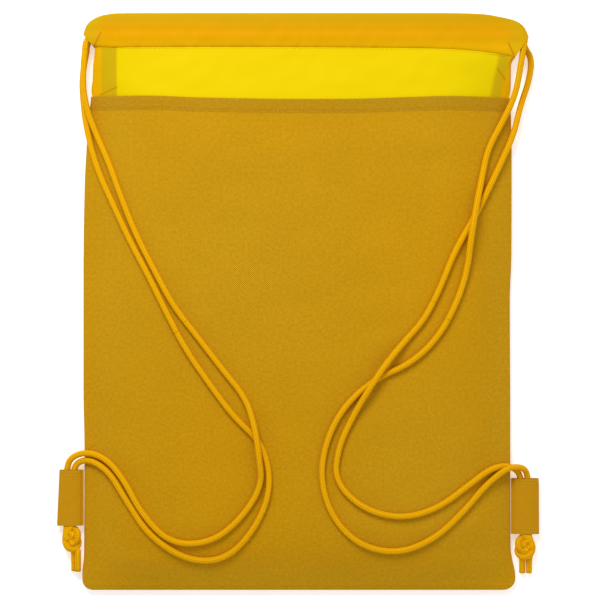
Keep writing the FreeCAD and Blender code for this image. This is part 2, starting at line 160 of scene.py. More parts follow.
def grid_normals(grid, closed=False):
    """The normal at each point of a grid, by its neighbours."""
    along = np.gradient(grid, axis=0)
    if closed:
        across = np.roll(grid, -1, axis=1) - np.roll(grid, 1, axis=1)
    else:
        across = np.gradient(grid, axis=1)
    return unit(np.cross(across, along))


def drawn_spline(name, route, fineness):
    """The points of the smooth NURBS line that has a route's points as its control points."""
    curve = bpy.data.curves.new(name, "CURVE")
    curve.dimensions = "3D"
    curve.resolution_u = fineness
    spline = curve.splines.new("NURBS")
    spline.points.add(len(route) - 1)
    for point, place in zip(spline.points, route):
        point.co = (*place, 1)
    spline.order_u = 3
    spline.use_endpoint_u = True
    holder = bpy.data.objects.new(name, curve)
    mesh = bpy.data.meshes.new_from_object(holder)
    line = np.array([vertex.co for vertex in mesh.vertices])
    bpy.data.meshes.remove(mesh)
    bpy.data.objects.remove(holder)
    bpy.data.curves.remove(curve)
    return line


# ---- Materials ----

class Shader:
    """A Principled material and short ways to wire its nodes."""

    def __init__(self, name, roughness, sheen=0.0, gloss=0.02):
        self.material = bpy.data.materials.new(name)
        self.material.use_nodes = True
        self.tree = self.material.node_tree
        self.surface = self.tree.nodes["Principled BSDF"]
        for name, value in (("Roughness", roughness), ("Sheen Weight", sheen), ("Specular IOR Level", gloss)):
            self.surface.inputs[name].default_value = value

    def feed(self, socket, value):
        if isinstance(value, bpy.types.NodeSocket):
            self.tree.links.new(value, socket)
        else:
            socket.default_value = value

    def add(self, kind, **values):
        """A new node with inputs fed by name, an underscore in the name standing for a space."""
        node = self.tree.nodes.new("ShaderNode" + kind)
        for name, value in values.items():
            self.feed(node.inputs[name.replace("_", " ")], value)
        return node

    def maths(self, operation, *values):
        node = self.add("Math")
        node.operation = operation
        for socket, value in zip(node.inputs, values):
            self.feed(socket, value)
        return node.outputs[0]

    def plus(self, first, second):
        return self.maths("ADD", first, second)

    def minus(self, first, second):
        return self.maths("SUBTRACT", first, second)

    def times(self, first, second):
        return self.maths("MULTIPLY", first, second)

    def parted(self, whole, size):
        return self.maths("DIVIDE", whole, size)

    def arches(self, place):
        """A row of round arches, one for each unit, from 0 up to 1 and down again."""
        return self.maths("ABSOLUTE", self.maths("SINE", self.times(place, pi)))

    def cloth_place(self):
        """The two coordinates of the flat cloth, in metres, or of a cord, in turns and metres."""
        source = self.add("UVMap")
        source.uv_map = "cloth"
        split = self.add("SeparateXYZ", Vector=source.outputs[0])
        return source.outputs[0], split.outputs[0], split.outputs[1]

    def noise(self, place, scale, detail=2.0):
        return self.add("TexNoise", Vector=place, Scale=scale, Detail=detail).outputs["Fac"]

    def smooth(self, value, start, end):
        """0 at the start value, 1 at the end value, and smooth between them."""
        node = self.add("MapRange", Value=value, From_Min=start, From_Max=end)
        node.interpolation_type = "SMOOTHSTEP"
        return node.outputs["Result"]

    def near_line(self, across, along, start, end, width):
        """1 on a short straight line in the cloth, fading to 0 at a width from it: the mask for the painted
        shade of the creases.
        """
        run, climb = end[0] - start[0], end[1] - start[1]
        right = self.minus(across, start[0])
        up = self.minus(along, start[1])
        share = self.plus(self.times(right, run), self.times(up, climb))
        share = self.parted(share, run * run + climb * climb)
        share = self.maths("MINIMUM", self.maths("MAXIMUM", share, 0.0), 1.0)
        aside = self.minus(right, self.times(share, run))
        above = self.minus(up, self.times(share, climb))
        squares = self.plus(self.times(aside, aside), self.times(above, above))
        return self.smooth(self.maths("SQRT", squares), width, 0.0)

    def ramp(self, factor, *stops):
        node = self.add("ValToRGB", Fac=factor)
        elements = node.color_ramp.elements
        while len(elements) < len(stops):
            elements.new(0.5)
        for element, (position, colour) in zip(elements, stops):
            element.position = position
            element.color = (*colour, 1)
        return node.outputs["Color"]

    def mix(self, factor, first, second, kind="MIX"):
        node = self.add("Mix")
        node.data_type = "RGBA"
        node.blend_type = kind
        colours = [socket for socket in node.inputs if socket.type == "RGBA"]
        self.feed(node.inputs[0], factor)
        for socket, value in zip(colours, (first, second)):
            self.feed(socket, (*value, 1) if isinstance(value, tuple) else value)
        return next(socket for socket in node.outputs if socket.type == "RGBA")

    def tinted(self, first, second):
        return self.mix(1.0, first, second, "MULTIPLY")

    def finish(self, colour, height=None, distance=0.0, strength=0.0):
        self.feed(self.surface.inputs["Base Color"], colour)
        if height is not None:
            bump = self.add("Bump", Distance=distance, Strength=strength, Height=height)
            self.feed(self.surface.inputs["Normal"], bump.outputs[0])
        return self.material


def lighter(colour, share):
    return tuple(channel * share for channel in colour)


def grey(share):
    return (share, share, share)


def woven(name, colour, pitch, contrast, roughness, sheen, uneven=0.06, depth=0.0002, tint=None):
    """Plain-woven cloth: threads cross over and under, with fine dark gaps at their corners.
    tint changes the cloth's colour from place to place."""
    shader = Shader(name, roughness, sheen)
    place, across, along = shader.cloth_place()
    warp = shader.parted(across, pitch)
    weft = shader.parted(along, pitch)
    squares = shader.plus(shader.maths("FLOOR", warp), shader.maths("FLOOR", weft))
    over = shader.maths("PINGPONG", squares, 1.0)
    round_warp = shader.arches(warp)
    round_weft = shader.arches(weft)
    thread = shader.times(shader.maths("POWER", round_warp, 0.6), shader.maths("POWER", round_weft, 0.6))
    lift = shader.plus(shader.times(over, 0.45), shader.times(thread, 0.55))
    cloudy = shader.noise(place, 16.0, 3.0)
    slub = shader.noise(place, 420.0, 2.0)
    weave = shader.ramp(lift, (0.0, lighter(colour, 1 - contrast)), (0.55, colour),
                        (1.0, lighter(colour, 1 + 0.7 * contrast)))
    soft = shader.mix(cloudy, grey(1 - uneven), grey(1 + uneven))
    fine = shader.mix(slub, grey(1 - contrast / 3), grey(1 + contrast / 3))
    shade = shader.tinted(shader.tinted(weave, soft), fine)
    if tint is not None:
        shade = shader.tinted(shade, tint(shader, across, along))
    return shader.finish(shade, lift, depth, 0.5)


def share_of(colour, base):
    return tuple(channel / whole for channel, whole in zip(colour, base))


def doubled_sides(shader, across, along):
    """The collar's sides, where a seam allowance and a turned edge lie under the single layer."""
    tint = (1.0, 1.0, 1.0)
    turned = share_of(TURNED_COLOUR, COLLAR_COLOUR)
    allowance = share_of(ALLOWANCE_COLOUR, COLLAR_COLOUR)
    slanting = shader.minus(across, shader.times(shader.minus(along, 0.176), 0.20))
    for place, turned_edge, seam, soft in ((across, -0.1388, -0.1505, 0.0013),
                                           (slanting, 0.1522, 0.1606, -0.0022)):
        under = shader.smooth(place, turned_edge + soft, turned_edge - soft)
        tint = shader.mix(shader.times(under, 0.9), tint, turned)
        tint = shader.mix(shader.smooth(place, seam + soft, seam - soft), tint, allowance)
    # Painted shade: two narrow creases darkened reddish-brown in the colour, standing in for the shade that
    # falls in them.
    for start, end in (((-0.1520, 0.1598), (-0.1390, 0.1652)), ((0.1540, 0.1798), (0.1602, 0.1713))):
        crease_shade = shader.times(shader.near_line(across, along, start, end, 0.0010), 0.75)
        tint = shader.mix(crease_shade, tint, share_of(CREASE_SHADE_COLOUR, COLLAR_COLOUR))
    return tint


CHANNEL_FOOT = 0.196
CHANNEL_HEIGHT = 0.02625


def channel_layers(shader, across, along):
    """The channel: the turned-in edge beside the seam, the cords' room, and the folded top."""
    height = shader.parted(shader.minus(along, CHANNEL_FOOT), CHANNEL_HEIGHT)
    top = share_of(CHANNEL_TOP_COLOUR, CHANNEL_COLOUR)
    tint = shader.ramp(height, (0.0, share_of(CHANNEL_SEAM_COLOUR, CHANNEL_COLOUR)), (0.16, (1, 1.12, 1)),
                       (0.34, (1, 1, 1)), (0.60, (0.96, 1.0, 1)), (0.74, top), (1.0, top))
    for inner, outer, depth in ((-0.1475, -0.157, 0.55), (0.158, 0.168, 0.45)):
        end = shader.times(shader.smooth(across, inner, outer), depth)
        tint = shader.mix(end, tint, share_of(TURNED_COLOUR, CHANNEL_COLOUR))
    # Painted shade: the folds at the channel's ends darkened reddish-brown in the colour, standing in for the
    # shade that falls in them.
    for start, end in (((-0.1506, 0.2072), (-0.1558, 0.1968)), ((0.1620, 0.1985), (0.1660, 0.1905))):
        crease_shade = shader.times(shader.near_line(across, along, start, end, 0.0011), 0.8)
        tint = shader.mix(crease_shade, tint, share_of(CREASE_SHADE_COLOUR, CHANNEL_COLOUR))
    return tint


WALES = 8                      # columns of stitches round the cord
STITCH = 0.0016                # along the cord


def knitted(name, colour):
    """Knitted cord: columns of small slanting stitches that meet in Vs, with a groove between columns."""
    shader = Shader(name, 0.62, 0.02)
    place, turn, along = shader.cloth_place()
    column = shader.times(turn, WALES)
    beside = shader.maths("ABSOLUTE", shader.minus(shader.maths("FRACT", column), 0.5))
    stitch = shader.plus(shader.parted(along, STITCH), shader.times(beside, 1.3))
    rib = shader.arches(stitch)
    groove = shader.minus(1.0, shader.maths("POWER", shader.times(beside, 2.0), 4.0))
    lift = shader.times(shader.maths("POWER", rib, 0.7), groove)
    knit = shader.ramp(lift, (0.0, lighter(colour, 0.62)), (0.45, lighter(colour, 0.93)),
                       (1.0, lighter(colour, 1.1)))
    wear = shader.mix(shader.noise(place, 30.0, 3.0), (0.95, 0.93, 0.9), (1.04, 1.05, 1.0))
    return shader.finish(shader.tinted(knit, wear), lift, 0.0003, 0.8)


def spun(name, colour):
    """Sewing thread: a fine slanting twist."""
    shader = Shader(name, 0.5)
    place, turn, along = shader.cloth_place()
    ply = shader.arches(shader.plus(shader.times(turn, 2.0), shader.parted(along, 0.0006)))
    shade = shader.ramp(ply, (0.0, lighter(colour, 0.7)), (1.0, lighter(colour, 1.1)))
    return shader.finish(shade, ply, 0.0001, 0.5)


TWILL_COLOUR = (0.568, 0.290, 0.0055)
HEM_COLOUR = (0.484, 0.252, 0.008)
COLLAR_COLOUR = (0.77, 0.572, 0.0008)
TURNED_COLOUR = (0.56, 0.372, 0.004)
ALLOWANCE_COLOUR = (0.76, 0.41, 0.001)
# painted shade: the reddish-brown of the shade that falls in the creases of the collar and channels
CREASE_SHADE_COLOUR = (0.58, 0.16, 0.002)
CHANNEL_COLOUR = (0.72, 0.335, 0.0008)
CHANNEL_SEAM_COLOUR = (0.80, 0.42, 0.0008)
CHANNEL_TOP_COLOUR = (0.585, 0.318, 0.0015)
CORD_COLOUR = (0.90, 0.44, 0.0008)
TAB_COLOUR = (0.56, 0.268, 0.006)

twill = woven("twill", TWILL_COLOUR, 0.00077, 0.55, 0.85, 0.02)
twill_hem = woven("twill_hem", HEM_COLOUR, 0.00077, 0.62, 0.85, 0.02)
nylon = woven("nylon", COLLAR_COLOUR, 0.00025, 0.04, 0.5, 0.0, 0.02, 0.00002, doubled_sides)
channel_nylon = woven("channel_nylon", CHANNEL_COLOUR, 0.00025, 0.06, 0.5, 0.0, 0.04, 0.00002, channel_layers)
ribbon = woven("ribbon", TAB_COLOUR, 0.0004, 0.18, 0.75, 0.02, 0.05, 0.0001)
cord_knit = knitted("cord_knit", CORD_COLOUR)
seam_thread = spun("seam_thread", (0.46, 0.23, 0.006))
tab_thread = spun("tab_thread", (0.66, 0.39, 0.02))
nylon_thread = spun("nylon_thread", (0.75, 0.47, 0.001))


# ---- Camera, light and floor ----

FRAME_WIDTH = 0.4626           # of the plane through the bag, across the picture
LENS = 150

camera_data = bpy.data.cameras.new("camera")
camera_data.lens = LENS
camera_data.sensor_width = 36
camera = in_scene("camera", camera_data)
bpy.context.scene.camera = camera
camera.location = (0.0021, 0.0017, CROWN / 2 + FRAME_WIDTH * LENS / 36)
camera_data.clip_start, camera_data.clip_end = 0.01, 50


def area_light(name, place, aim, size, power):
    data = bpy.data.lights.new(name, "AREA")
    data.shape = "DISK"
    data.size = size
    data.energy = power
    lamp = in_scene(name, data)
    lamp.location = place
    lamp.rotation_euler = (Vector(aim) - Vector(place)).to_track_quat("-Z", "Y").to_euler()


area_light("key_light", (-0.25, 0.75, 0.95), (0, 0.02, 0), 0.6, 9.5)
area_light("fill_light", (0.9, -0.5, 1.6), (0, 0, 0), 1.4, 4)

world = bpy.data.worlds.new("studio")
world.use_nodes = True
sky = world.node_tree.nodes["Background"]
sky.inputs["Color"].default_value = (1, 1, 1, 1)
sky.inputs["Strength"].default_value = 0.52
bpy.context.scene.world = world
bpy.context.scene.view_settings.view_transform = "Standard"

floor_shader = Shader("pale_floor", 0.9, gloss=0.0)
floor_shader.surface.inputs["Emission Color"].default_value = (1, 1, 1, 1)
floor_shader.surface.inputs["Emission Strength"].default_value = 0.4
floor_material = floor_shader.finish((0.93, 0.93, 0.93, 1))
floor = mesh_object("floor", [(-3, -3, 0), (3, -3, 0), (3, 3, 0), (-3, 3, 0)], [(0, 1, 2, 3)],
                    materials=[floor_material])
floor.location.z = -0.0003


# ---- Drawcords ----

def rise(distance):
    """How far the back panel has risen, from 0 to 1, at a distance in from its edge."""
    remaining = 1 - np.clip(distance, 0, 0.06) / 0.06
    return 1 - remaining ** 2


EDGE_TOP = SEAM_LEVEL + CLOTH
CORD_CLEARANCE = 0.0004
OVER_A_CORD = 0.0054


def lay(points):
    """Heights for a cord on the back panel, from x, y and, if it crosses another cord, its lift over it."""
    placed = []
    for x, y, *lift in points:
        share = float(rise(HALF_WIDTH - abs(x)) * rise(y - BOTTOM))
        height = EDGE_TOP + (CROWN - EDGE_TOP) * share + CORD / 2 + CORD_CLEARANCE + sum(lift)
        placed.append((x, y, height))
    return placed


TAB_LEVEL = 0.0065
LEFT_TAB_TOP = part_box("left_tab")[1].y
RIGHT_TAB_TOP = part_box("right_tab")[1].y
IN_TAB = 0.0035
INNER_PLACE = 0.1726
OUTER_PLACE = 0.178

STRANDS = {
    "left_strap_back": (
        [(-0.163, 0.194, BACK_CHANNEL), (-0.1655, 0.172, 0.0165), (-0.1625, 0.150, 0.0152)]
        + lay([(-0.1555, 0.131), (-0.145, 0.108), (-0.135, 0.080), (-0.1235, 0.0515),
               (-0.1095, 0.0245), (-0.095, -0.003), (-0.0855, -0.015)]),
        lay([(-0.0855, -0.015), (-0.076, -0.027), (-0.057, -0.052), (-0.039, -0.074),
             (-0.032, -0.097, OVER_A_CORD), (-0.029, -0.119, OVER_A_CORD), (-0.027, -0.141),
             (-0.043, -0.166), (-0.066, -0.1845), (-0.097, -0.1855), (-0.119, -0.1628),
             (-0.1334, -0.1354), (-0.1472, -0.1198)])
        + [(-0.162, -0.1153, 0.0122), (-0.1736, -0.119, 0.0096), (-OUTER_PLACE, -0.1265, TAB_LEVEL),
           (-OUTER_PLACE, LEFT_TAB_TOP - IN_TAB, TAB_LEVEL)],
    ),
    "left_strap_front": (
        [(-0.163, 0.194, FRONT_CHANNEL), (-0.1665, 0.176, 0.0045), (-0.1653, 0.156, 0.0099)]
        + lay([(-0.1625, 0.134), (-0.1545, 0.104), (-0.1415, 0.0755), (-0.128, 0.0465),
               (-0.1135, 0.0195), (-0.0995, -0.0095), (-0.09225, -0.02325)]),
        lay([(-0.09225, -0.02325), (-0.085, -0.037), (-0.067, -0.063), (-0.049, -0.0875),
             (-0.026, -0.109), (-0.0195, -0.141), (-0.031, -0.172), (-0.054, -0.1975),
             (-0.083, -0.199), (-0.113, -0.180), (-0.131, -0.1525), (-0.1435, -0.1315),
             (-0.156, -0.1226)])
        + [(-0.1658, -0.1216, 0.0092), (-INNER_PLACE, -0.1268, TAB_LEVEL),
           (-INNER_PLACE, LEFT_TAB_TOP - IN_TAB, TAB_LEVEL)],
    ),
    "right_strap_back": (
        [(0.175, 0.203, BACK_CHANNEL), (0.1715, 0.180, 0.017), (0.1675, 0.158, 0.0146)]
        + lay([(0.157, 0.137), (0.1465, 0.118), (0.142, 0.097), (0.1375, 0.076, OVER_A_CORD),
               (0.133, 0.050, OVER_A_CORD), (0.1305, 0.025), (0.1225, 0), (0.11525, -0.0135)]),
        lay([(0.11525, -0.0135), (0.108, -0.027), (0.087, -0.047), (0.060, -0.0585),
             (0.036, -0.079), (0.022, -0.106), (0.0175, -0.135), (0.0265, -0.165),
             (0.048, -0.187), (0.078, -0.193), (0.106, -0.181), (0.128, -0.160),
             (0.142, -0.1435)])
        + [(0.1535, -0.1334, 0.016), (0.163, -0.1269, 0.0166), (0.1728, -0.1268, 0.014),
           (OUTER_PLACE, -0.132, TAB_LEVEL), (OUTER_PLACE, RIGHT_TAB_TOP - IN_TAB, TAB_LEVEL)],
    ),
    "right_strap_front": (
        [(0.175, 0.203, FRONT_CHANNEL), (0.1753, 0.197, FRONT_CHANNEL), (0.1815, 0.189, FRONT_CHANNEL),
         (0.1795, 0.172, 0.0046), (0.172, 0.151, 0.0074), (0.167, 0.1295, 0.0104)]
        + lay([(0.158, 0.110), (0.149, 0.091), (0.136, 0.065), (0.121, 0.040),
               (0.1105, 0.013), (0.10425, 0.00025)]),
        lay([(0.10425, 0.00025), (0.098, -0.0125), (0.084, -0.028), (0.0685, -0.046, OVER_A_CORD),
             (0.0545, -0.067, OVER_A_CORD), (0.0425, -0.0875), (0.0315, -0.111), (0.0285, -0.137),
             (0.050, -0.1585), (0.080, -0.166), (0.108, -0.158), (0.132, -0.140),
             (0.147, -0.129), (0.157, -0.126)])
        + [(0.166, -0.127, 0.0093), (INNER_PLACE, -0.133, TAB_LEVEL),
           (INNER_PLACE, RIGHT_TAB_TOP - IN_TAB, TAB_LEVEL)],
    ),
}

ROUND = 24                     # points round a cord
TUFT = 0.06                    # depth of the grooves between its columns, as a share of its radius


def knitted_tube(name, line, diameter, normal=None, run=0.0):
    """A knitted cord along a line of points. Gives the piece, and what its continuation starts from."""
    tangents = unit(np.gradient(line, axis=0))
    normal = np.array((0, 0, 1.0)) if normal is None else normal
    runs = run + marks_along(line)
    angles = np.arange(ROUND + 1) / ROUND * 2 * pi
    columns = np.abs((angles / (2 * pi) * WALES) % 1 - 0.5) * 2
    diameters = np.broadcast_to(diameter, len(line))
    fluting = 1 - TUFT * columns ** 3
    points, uvs = [], []
    for index, (centre, tangent) in enumerate(zip(line, tangents)):
        normal = unit(normal - tangent * (normal @ tangent))
        side = np.cross(tangent, normal)
        stitch = 1 + 0.02 * math.sin(runs[index] / STITCH * 2 * pi)
        ring = np.outer(np.cos(angles), normal) + np.outer(np.sin(angles), side)
        points.append(centre + ring * (diameters[index] / 2 * fluting * stitch)[:, None])
        uvs.append(np.stack([angles / (2 * pi), np.full(ROUND + 1, runs[index])], -1))
    rows = len(line)
    points = np.concatenate([np.concatenate(points), [line[0], line[-1]]])
    uvs = np.concatenate([np.concatenate(uvs), [[0, runs[0]], [0, runs[-1]]]])
    faces = [tuple(face) for face in grid_faces(rows, ROUND + 1)]
    last = (rows - 1) * (ROUND + 1)
    for step in range(ROUND):
        faces.append((rows * (ROUND + 1), step + 1, step))
        faces.append((rows * (ROUND + 1) + 1, last + step, last + step + 1))
    faces = [face[::-1] for face in faces]
    thing = mesh_object(name, points, faces, uvs, materials=[cord_knit])
    return thing, normal, runs[-1]


def strap(name, upper_route, lower_route):
    """One strand of a strap: the upper part near the mouth's corner, and the lower part down to the tab."""
    upper_line = drawn_spline(f"{name}_upper_line", upper_route, 26)
    lower_line = drawn_spline(f"{name}_lower_line", lower_route, 26)
    upper, normal, run = knitted_tube(f"{name}_upper_cord", upper_line, CORD)
    lower, _, _ = knitted_tube(f"{name}_lower_cord", lower_line, CORD, normal, run)
    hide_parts(f"{name}_upper")
    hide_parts(f"{name}_lower")
    follow_mouth(upper)
    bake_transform(lower)


for strand, (upper_route, lower_route) in STRANDS.items():
    strap(strand, upper_route, lower_route)


# ---- Cloth ----

def places_along(length, step, low_end, high_end):
    """Distances along a length: set ones from each end, and even steps between them."""
    first, last = low_end[-1], length - high_end[-1]
    middle = np.linspace(first, last, 2 * round((last - first) / step / 2) + 1)[1:-1]
    return np.concatenate([low_end, middle, length - np.array(high_end)[::-1]])


def cloth_piece(name, layers, materials):
    """One mesh of thin cloth. A layer is its points, normals, places on the flat cloth, thickness and the
    number of each face's material."""
    points, normals, uvs, faces, painted = [], [], [], [], []
    count = 0
    for grid, outward, flat, thickness, paint in layers:
        rows, columns = grid.shape[:2]
        size = rows * columns
        inside = grid - outward * np.broadcast_to(thickness, grid.shape[:2])[..., None]
        top = grid_faces(rows, columns, count)
        number = np.arange(size).reshape(rows, columns) + count
        loop = np.concatenate([number[0, :-1], number[:-1, -1], number[-1, :0:-1], number[:0:-1, 0]])
        beyond = np.roll(loop, -1)
        rim = np.stack([beyond, loop, loop + size, beyond + size], -1)
        points += [grid.reshape(-1, 3), inside.reshape(-1, 3)]
        normals += [outward.reshape(-1, 3), -outward.reshape(-1, 3)]
        uvs += [flat.reshape(-1, 2)] * 2
        faces += [top, top[:, ::-1] + size, rim]
        paint = np.broadcast_to(paint, (rows - 1, columns - 1)).ravel()
        painted += [paint, paint, np.full(len(rim), paint[0])]
        count += 2 * size
    thing = mesh_object(name, np.concatenate(points), np.concatenate(faces), np.concatenate(uvs),
                        np.concatenate(normals), materials, np.concatenate(painted))
    return thing


CLOTH_SETTINGS = {
    "quality": 8, "mass": 0.02, "air_damping": 2,
    "tension_stiffness": 20, "compression_stiffness": 20, "shear_stiffness": 8, "bending_stiffness": 0.5,
}


def settled(name, grid, give, room, frames=24, grain=7):
    """How far cloth comes to rest above or below the shape that it is given, when it is held round its
    border, cut larger than its place by the share `give`, and held up by what lies `room` below it."""
    rows, columns = (np.unique(np.linspace(0, count - 1, count // grain + 3).round().astype(int))
                     for count in grid.shape[:2])
    coarse = grid[np.ix_(rows, columns)]
    faces = grid_faces(len(rows), len(columns))
    filling = mesh_object(name + "_filling", coarse.reshape(-1, 3) - (0, 0, room), faces)
    filling.modifiers.new("support", "COLLISION")
    filling.collision.thickness_outer = 0.0002
    filling.collision.thickness_inner = 0.02
    thing = mesh_object(name, coarse.reshape(-1, 3), faces)
    held = thing.vertex_groups.new(name="held")
    number = np.arange(coarse.shape[0] * coarse.shape[1]).reshape(coarse.shape[:2])
    border = np.concatenate([number[0], number[-1], number[:, 0], number[:, -1]])
    held.add([int(index) for index in np.unique(border)], 1.0, "REPLACE")
    cloth = thing.modifiers.new("cloth", "CLOTH")
    for setting, value in CLOTH_SETTINGS.items():
        setattr(cloth.settings, setting, value)
    cloth.settings.shrink_min = -give
    cloth.settings.vertex_group_mass = "held"
    cloth.collision_settings.distance_min = 0.0003
    scene = bpy.context.scene
    for moment in range(1, frames + 1):
        scene.frame_set(moment)
        solved = thing.evaluated_get(bpy.context.evaluated_depsgraph_get())
    flat = np.zeros(len(thing.data.vertices) * 3)
    solved.data.vertices.foreach_get("co", flat)
    scene.frame_set(1)
    moved = (flat.reshape(coarse.shape) - coarse)[..., 2]
    for spent in (thing, filling):
        bpy.data.objects.remove(spent)
    across = np.array([through(list(zip(columns, row)), np.arange(grid.shape[1])) for row in moved])
    return np.array([through(list(zip(rows, line)), np.arange(grid.shape[0])) for line in across.T]).T


LEFT_EDGE = [(-0.2223, -0.1655), (-0.210, -0.1662), (-0.195, -0.1648), (-0.114, -0.1644), (-0.068, -0.1652),
             (0.025, -0.1652), (0.086, -0.1644), (0.117, -0.1629), (0.160, -0.159)]
RIGHT_EDGE = [(-0.2223, 0.167), (-0.212, 0.1685), (-0.198, 0.166), (-0.190, 0.1648), (-0.068, 0.1645),
              (0, 0.1642), (0.040, 0.1655), (0.117, 0.1656), (0.160, 0.1646)]
MOUTH_EDGE = [(-0.165, 0.1586), (-0.115, 0.1585), (-0.075, 0.1571), (0.002, 0.1559), (0.040, 0.156),
              (0.079, 0.1571), (0.118, 0.1582), (0.165, 0.1575)]
CORNER = 0.0075
PANEL_LENGTH = 0.380
LAYER_GAP = 0.0003             # air between a panel and the collar inside it
EXTRA_LAYER = 0.00025          # how far a doubled layer stands up
DEEPEST_WAVE = 0.0014
HEM = 0.0106                   # depth of the doubled band at the panels' mouth
SEAM_ALLOWANCE = 0.004         # the ridge of turned-in cloth along the bottom


def back_height(x, y):
    """The back panel's upper face."""
    return EDGE_TOP + (CROWN - EDGE_TOP) * rise(HALF_WIDTH - np.abs(x)) * rise(y - BOTTOM)


def front_height(x, y):
    """The front panel's under face, flat on the floor in the middle."""
    inset = np.clip(np.minimum(HALF_WIDTH - np.abs(x), y - BOTTOM), 0, 0.04) / 0.04
    return SEAM_LEVEL * (1 - inset) ** 2


def panel_places():
    """Where the points of a panel lie on the bag's outline, with each one's distance from its edges."""
    sewn = (0, 0.0004, 0.001, 0.0018, 0.0026, 0.0033, 0.004, 0.0047, 0.006, 0.008)
    mouth = (0, 0.0004, 0.001, 0.002, 0.0035, 0.0055, 0.0075, 0.0095, 0.0104, 0.0109, 0.012, 0.0145)
    across = places_along(2 * HALF_WIDTH, 0.0024, sewn, sewn) / (2 * HALF_WIDTH)
    along = places_along(PANEL_LENGTH, 0.0024, sewn, mouth) / PANEL_LENGTH
    share, climb = np.meshgrid(across, along)
    x = (share - 0.5) * 2 * HALF_WIDTH
    for _ in range(3):
        mouth_y = through(MOUTH_EDGE, x)
        y = BOTTOM + climb * (mouth_y - BOTTOM)
        rounding = CORNER - np.sqrt(CORNER ** 2 - np.clip(CORNER - (y - BOTTOM), 0, CORNER) ** 2)
        left, right = through(LEFT_EDGE, y) + rounding, through(RIGHT_EDGE, y) - rounding
        x = left + share * (right - left)
    inset = np.minimum(np.minimum(x - left, right - x), y - BOTTOM)
    return x, y, inset, mouth_y - y


def rounded_edge(distance, radius):
    """1 at an edge, falling as a quarter circle to 0 at a radius from it."""
    return 1 - np.sqrt(1 - (1 - np.clip(distance / radius, 0, 1)) ** 2)


def panel_halves(name, grid, thickness, hem_rows, facing):
    """The left and right halves of a panel, split down the middle."""
    normals = grid_normals(grid) * (1 if facing > 0 else -1)
    middle = grid.shape[1] // 2
    paint = np.where(hem_rows[1:, 1:], 1, 0)     # the number of the material in the list of two
    halves = {}
    for side, columns, face_columns in (("left", slice(0, middle + 1), slice(0, middle)),
                                        ("right", slice(middle, None), slice(middle, None))):
        points, outward, cloth, ink = (a[:, columns] for a in (grid, normals, thickness, grid[..., :2]))
        layer = (points, outward, ink, cloth, paint[:, face_columns])
        if facing < 0:
            layer = tuple(part[:, ::-1] for part in layer)
        half = cloth_piece(f"{side}_{name}", [layer], [twill, twill_hem])
        follow_mouth(half)
        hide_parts(name)
        halves[side] = half
    return halves


x, y, inset, from_mouth = panel_places()
sewn_in = ease(0, 0.0022, inset)
hem_rows = from_mouth < HEM
hemmed = ease(HEM + 0.0003, HEM - 0.0002, from_mouth)
fold = CLOTH * rounded_edge(inset, 0.002)
lip = 0.0005 * rounded_edge(from_mouth, 0.0012)
ridge = EXTRA_LAYER * np.exp(-((y - BOTTOM - SEAM_ALLOWANCE) / 0.0007) ** 2)
loose = ease(0.006, 0.035, inset) * ease(0.014, 0.040, from_mouth)
places = np.stack([x, y], -1)

top = back_height(x, y) - fold - lip + ridge + EXTRA_LAYER * hemmed
shape = np.stack([x, y, top], -1)
slack = settled("back_panel_cloth", shape, give=0.003, room=0.0012)
slack = DEEPEST_WAVE * np.tanh(slack / DEEPEST_WAVE) + 0.0003 * ripple(places, 0.075, 3)
# Under and beside the cords the cloth keeps only a fifth of its waves.
under_cords = np.ones(x.shape)
for routes in STRANDS.values():
    for route in routes:
        for start, end in zip(route, route[1:]):
            leg = np.array(end[:2]) - np.array(start[:2])
            along_leg = np.clip(((places - start[:2]) @ leg) / (leg @ leg), 0, 1)[..., None]
            away = np.linalg.norm(places - start[:2] - along_leg * leg, axis=-1)
            under_cords = np.minimum(under_cords, ease(0.003, 0.016, away))
back_grid = shape.copy()
back_grid[..., 2] += loose * slack * (0.2 + 0.8 * under_cords)
back_halves = panel_halves("back_panel", back_grid, CLOTH * sewn_in, hem_rows, 1)

under = front_height(x, y) + 0.0002 * (1 - sewn_in)
front_grid = np.stack([x, y, under + 0.0002 * loose * (1 + ripple(places, 0.08, 5))], -1)
front_halves = panel_halves("front_panel", front_grid, CLOTH * sewn_in, hem_rows, -1)


# ---- Collar: a sleeve of thin nylon sewn inside the panels' mouth ----

COLLAR_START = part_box("back_collar")[0].y
CHANNEL_SEAM = [(-0.165, 0.1967), (-0.157, 0.1965), (-0.146, 0.1956), (-0.130, 0.1959), (-0.060, 0.1962),
                (0, 0.196), (0.060, 0.1956), (0.118, 0.1945), (0.132, 0.1934), (0.141, 0.1925),
                (0.150, 0.1913), (0.160, 0.1899), (0.169, 0.1883)]
COLLAR_LEFT = [(0.147, -0.156), (0.157, -0.1578), (0.163, -0.159), (0.173, -0.1578), (0.182, -0.1575),
               (0.188, -0.1567), (0.196, -0.1559)]
COLLAR_RIGHT = [(0.147, 0.1625), (0.157, 0.1637), (0.165, 0.1648), (0.182, 0.1648), (0.186, 0.166),
                (0.1883, 0.168)]
PANEL_MOUTH = 0.1565
COLLAR_FOOT = 0.150            # where its foot lies against the panels


